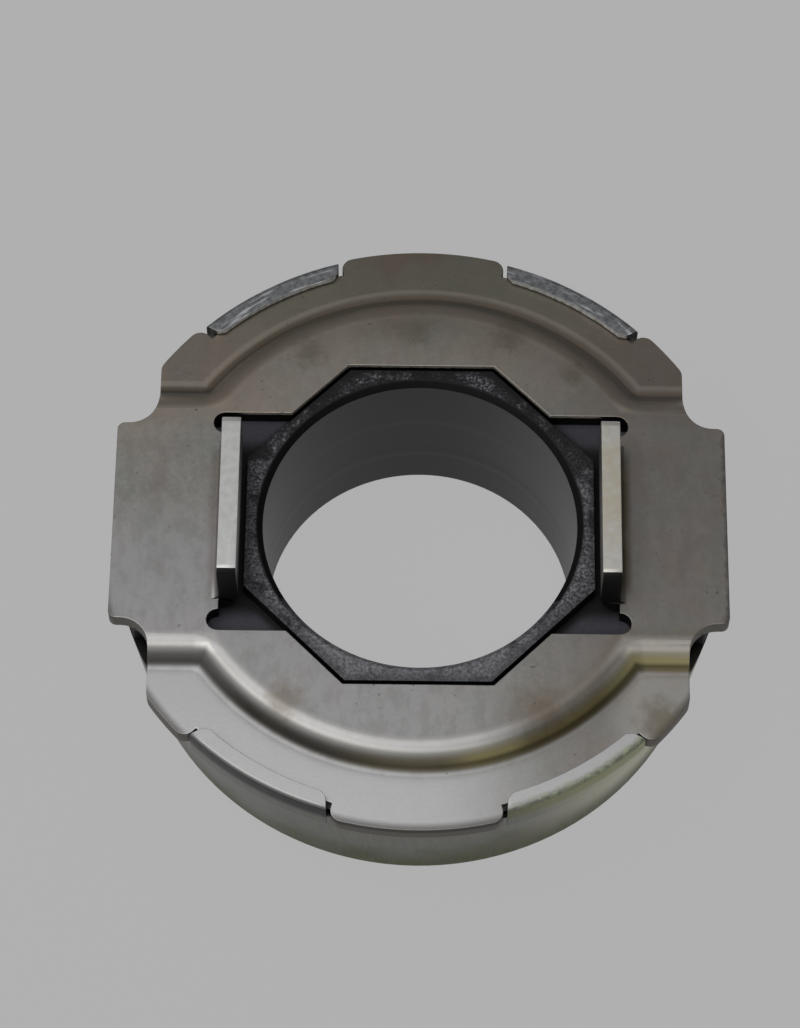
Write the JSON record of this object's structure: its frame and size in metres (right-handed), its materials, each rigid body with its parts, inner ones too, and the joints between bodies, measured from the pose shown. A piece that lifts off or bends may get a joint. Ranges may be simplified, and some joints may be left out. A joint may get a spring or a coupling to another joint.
{
  "type": "clutch release bearing",
  "caption": "Self-centring clutch release bearing: joggled steel fork plate with two lugs, crimped to a drawn cup round a sealed ball bearing, on a black moulded guide sleeve.",
  "frame": {"origin": "on the bearing axis, in the flat contact face that pushes the diaphragm spring", "axes": "+Z along the bearing axis towards the clutch fork, +X through an ear of the fork plate"},
  "size_m": [0.0644, 0.0682, 0.0311],
  "materials": {
    "plate_steel": "satin, oily",
    "black_nylon": "matte, glass filled",
    "cup_steel": "satin, oily",
    "spring_steel": "satin",
    "bearing_steel": "ground",
    "ball_steel": "polished",
    "cage_nylon": "natural",
    "seal_rubber": "matte"
  },
  "bodies": {
    "carrier": {"fork_plate": "plate_steel", "guide_sleeve": "black_nylon", "bearing_cup": "cup_steel"},
    "wave_spring": {"wave_spring": "spring_steel"},
    "outer_race": {"outer_ring": "bearing_steel", "rear_seal": "seal_rubber", "front_seal": "seal_rubber"},
    "inner_ring": {"inner_ring": "bearing_steel"},
    "ball_cage": {"ball_cage": "cage_nylon"},
    "ball_01": {"ball_01": "ball_steel"},
    "ball_02": {"ball_02": "ball_steel"},
    "ball_03": {"ball_03": "ball_steel"},
    "ball_04": {"ball_04": "ball_steel"},
    "ball_05": {"ball_05": "ball_steel"},
    "ball_06": {"ball_06": "ball_steel"},
    "ball_07": {"ball_07": "ball_steel"},
    "ball_08": {"ball_08": "ball_steel"},
    "ball_09": {"ball_09": "ball_steel"},
    "ball_10": {"ball_10": "ball_steel"},
    "ball_11": {"ball_11": "ball_steel"},
    "ball_12": {"ball_12": "ball_steel"},
    "ball_13": {"ball_13": "ball_steel"},
    "ball_14": {"ball_14": "ball_steel"},
    "ball_15": {"ball_15": "ball_steel"},
    "ball_16": {"ball_16": "ball_steel"},
    "ball_17": {"ball_17": "ball_steel"},
    "ball_18": {"ball_18": "ball_steel"}
  },
  "joints": [
    {"name": "centring_x", "type": "slide", "parent": "carrier", "child": "wave_spring", "axis": [1, 0, 0], "range_m": [-0.0008, 0.0008]},
    {"name": "centring_y", "type": "slide", "parent": "wave_spring", "child": "outer_race", "axis": [0, 1, 0], "range_m": [-0.0008, 0.0008]},
    {"name": "inner_ring_spin", "type": "hinge", "parent": "outer_race", "child": "inner_ring", "pos_m": [0, 0, 0.01418], "axis": [0, 0, 1], "continuous": true},
    {"name": "cage_orbit", "type": "hinge", "parent": "outer_race", "child": "ball_cage", "pos_m": [0, 0, 0.01418], "axis": [0, 0, 1], "continuous": true},
    {"name": "ball_01_roll", "type": "hinge", "parent": "ball_cage", "child": "ball_01", "pos_m": [0.02258, 0.00822, 0.01418], "axis": [-0.4698, -0.171, 0.866], "continuous": true},
    {"name": "ball_02_roll", "type": "hinge", "parent": "ball_cage", "child": "ball_02", "pos_m": [0.0184, 0.01544, 0.01418], "axis": [-0.383, -0.3214, 0.866], "continuous": true},
    {"name": "ball_03_roll", "type": "hinge", "parent": "ball_cage", "child": "ball_03", "pos_m": [0.01201, 0.02081, 0.01418], "axis": [-0.25, -0.433, 0.866], "continuous": true},
    {"name": "ball_04_roll", "type": "hinge", "parent": "ball_cage", "child": "ball_04", "pos_m": [0.00417, 0.02366, 0.01418], "axis": [-0.0868, -0.4924, 0.866], "continuous": true},
    {"name": "ball_05_roll", "type": "hinge", "parent": "ball_cage", "child": "ball_05", "pos_m": [-0.00417, 0.02366, 0.01418], "axis": [0.0868, -0.4924, 0.866], "continuous": true},
    {"name": "ball_06_roll", "type": "hinge", "parent": "ball_cage", "child": "ball_06", "pos_m": [-0.01201, 0.02081, 0.01418], "axis": [0.25, -0.433, 0.866], "continuous": true},
    {"name": "ball_07_roll", "type": "hinge", "parent": "ball_cage", "child": "ball_07", "pos_m": [-0.0184, 0.01544, 0.01418], "axis": [0.383, -0.3214, 0.866], "continuous": true},
    {"name": "ball_08_roll", "type": "hinge", "parent": "ball_cage", "child": "ball_08", "pos_m": [-0.02258, 0.00822, 0.01418], "axis": [0.4698, -0.171, 0.866], "continuous": true},
    {"name": "ball_09_roll", "type": "hinge", "parent": "ball_cage", "child": "ball_09", "pos_m": [-0.02403, 0, 0.01418], "axis": [0.5, 0, 0.866], "continuous": true},
    {"name": "ball_10_roll", "type": "hinge", "parent": "ball_cage", "child": "ball_10", "pos_m": [-0.02258, -0.00822, 0.01418], "axis": [0.4698, 0.171, 0.866], "continuous": true},
    {"name": "ball_11_roll", "type": "hinge", "parent": "ball_cage", "child": "ball_11", "pos_m": [-0.0184, -0.01544, 0.01418], "axis": [0.383, 0.3214, 0.866], "continuous": true},
    {"name": "ball_12_roll", "type": "hinge", "parent": "ball_cage", "child": "ball_12", "pos_m": [-0.01201, -0.02081, 0.01418], "axis": [0.25, 0.433, 0.866], "continuous": true},
    {"name": "ball_13_roll", "type": "hinge", "parent": "ball_cage", "child": "ball_13", "pos_m": [-0.00417, -0.02366, 0.01418], "axis": [0.0868, 0.4924, 0.866], "continuous": true},
    {"name": "ball_14_roll", "type": "hinge", "parent": "ball_cage", "child": "ball_14", "pos_m": [0.00417, -0.02366, 0.01418], "axis": [-0.0868, 0.4924, 0.866], "continuous": true},
    {"name": "ball_15_roll", "type": "hinge", "parent": "ball_cage", "child": "ball_15", "pos_m": [0.01201, -0.02081, 0.01418], "axis": [-0.25, 0.433, 0.866], "continuous": true},
    {"name": "ball_16_roll", "type": "hinge", "parent": "ball_cage", "child": "ball_16", "pos_m": [0.0184, -0.01544, 0.01418], "axis": [-0.383, 0.3214, 0.866], "continuous": true},
    {"name": "ball_17_roll", "type": "hinge", "parent": "ball_cage", "child": "ball_17", "pos_m": [0.02258, -0.00822, 0.01418], "axis": [-0.4698, 0.171, 0.866], "continuous": true},
    {"name": "ball_18_roll", "type": "hinge", "parent": "ball_cage", "child": "ball_18", "pos_m": [0.02403, 0, 0.01418], "axis": [-0.5, 0, 0.866], "continuous": true}
  ],
  "couplings": [
    {"joint": "cage_orbit", "follows": "inner_ring_spin", "ratio": 0.44278},
    {"joint": "ball_01_roll", "follows": "inner_ring_spin", "ratio": -3.7339},
    {"joint": "ball_02_roll", "follows": "inner_ring_spin", "ratio": -3.7339},
    {"joint": "ball_03_roll", "follows": "inner_ring_spin", "ratio": -3.7339},
    {"joint": "ball_04_roll", "follows": "inner_ring_spin", "ratio": -3.7339},
    {"joint": "ball_05_roll", "follows": "inner_ring_spin", "ratio": -3.7339},
    {"joint": "ball_06_roll", "follows": "inner_ring_spin", "ratio": -3.7339},
    {"joint": "ball_07_roll", "follows": "inner_ring_spin", "ratio": -3.7339},
    {"joint": "ball_08_roll", "follows": "inner_ring_spin", "ratio": -3.7339},
    {"joint": "ball_09_roll", "follows": "inner_ring_spin", "ratio": -3.7339},
    {"joint": "ball_10_roll", "follows": "inner_ring_spin", "ratio": -3.7339},
    {"joint": "ball_11_roll", "follows": "inner_ring_spin", "ratio": -3.7339},
    {"joint": "ball_12_roll", "follows": "inner_ring_spin", "ratio": -3.7339},
    {"joint": "ball_13_roll", "follows": "inner_ring_spin", "ratio": -3.7339},
    {"joint": "ball_14_roll", "follows": "inner_ring_spin", "ratio": -3.7339},
    {"joint": "ball_15_roll", "follows": "inner_ring_spin", "ratio": -3.7339},
    {"joint": "ball_16_roll", "follows": "inner_ring_spin", "ratio": -3.7339},
    {"joint": "ball_17_roll", "follows": "inner_ring_spin", "ratio": -3.7339},
    {"joint": "ball_18_roll", "follows": "inner_ring_spin", "ratio": -3.7339}
  ]
}
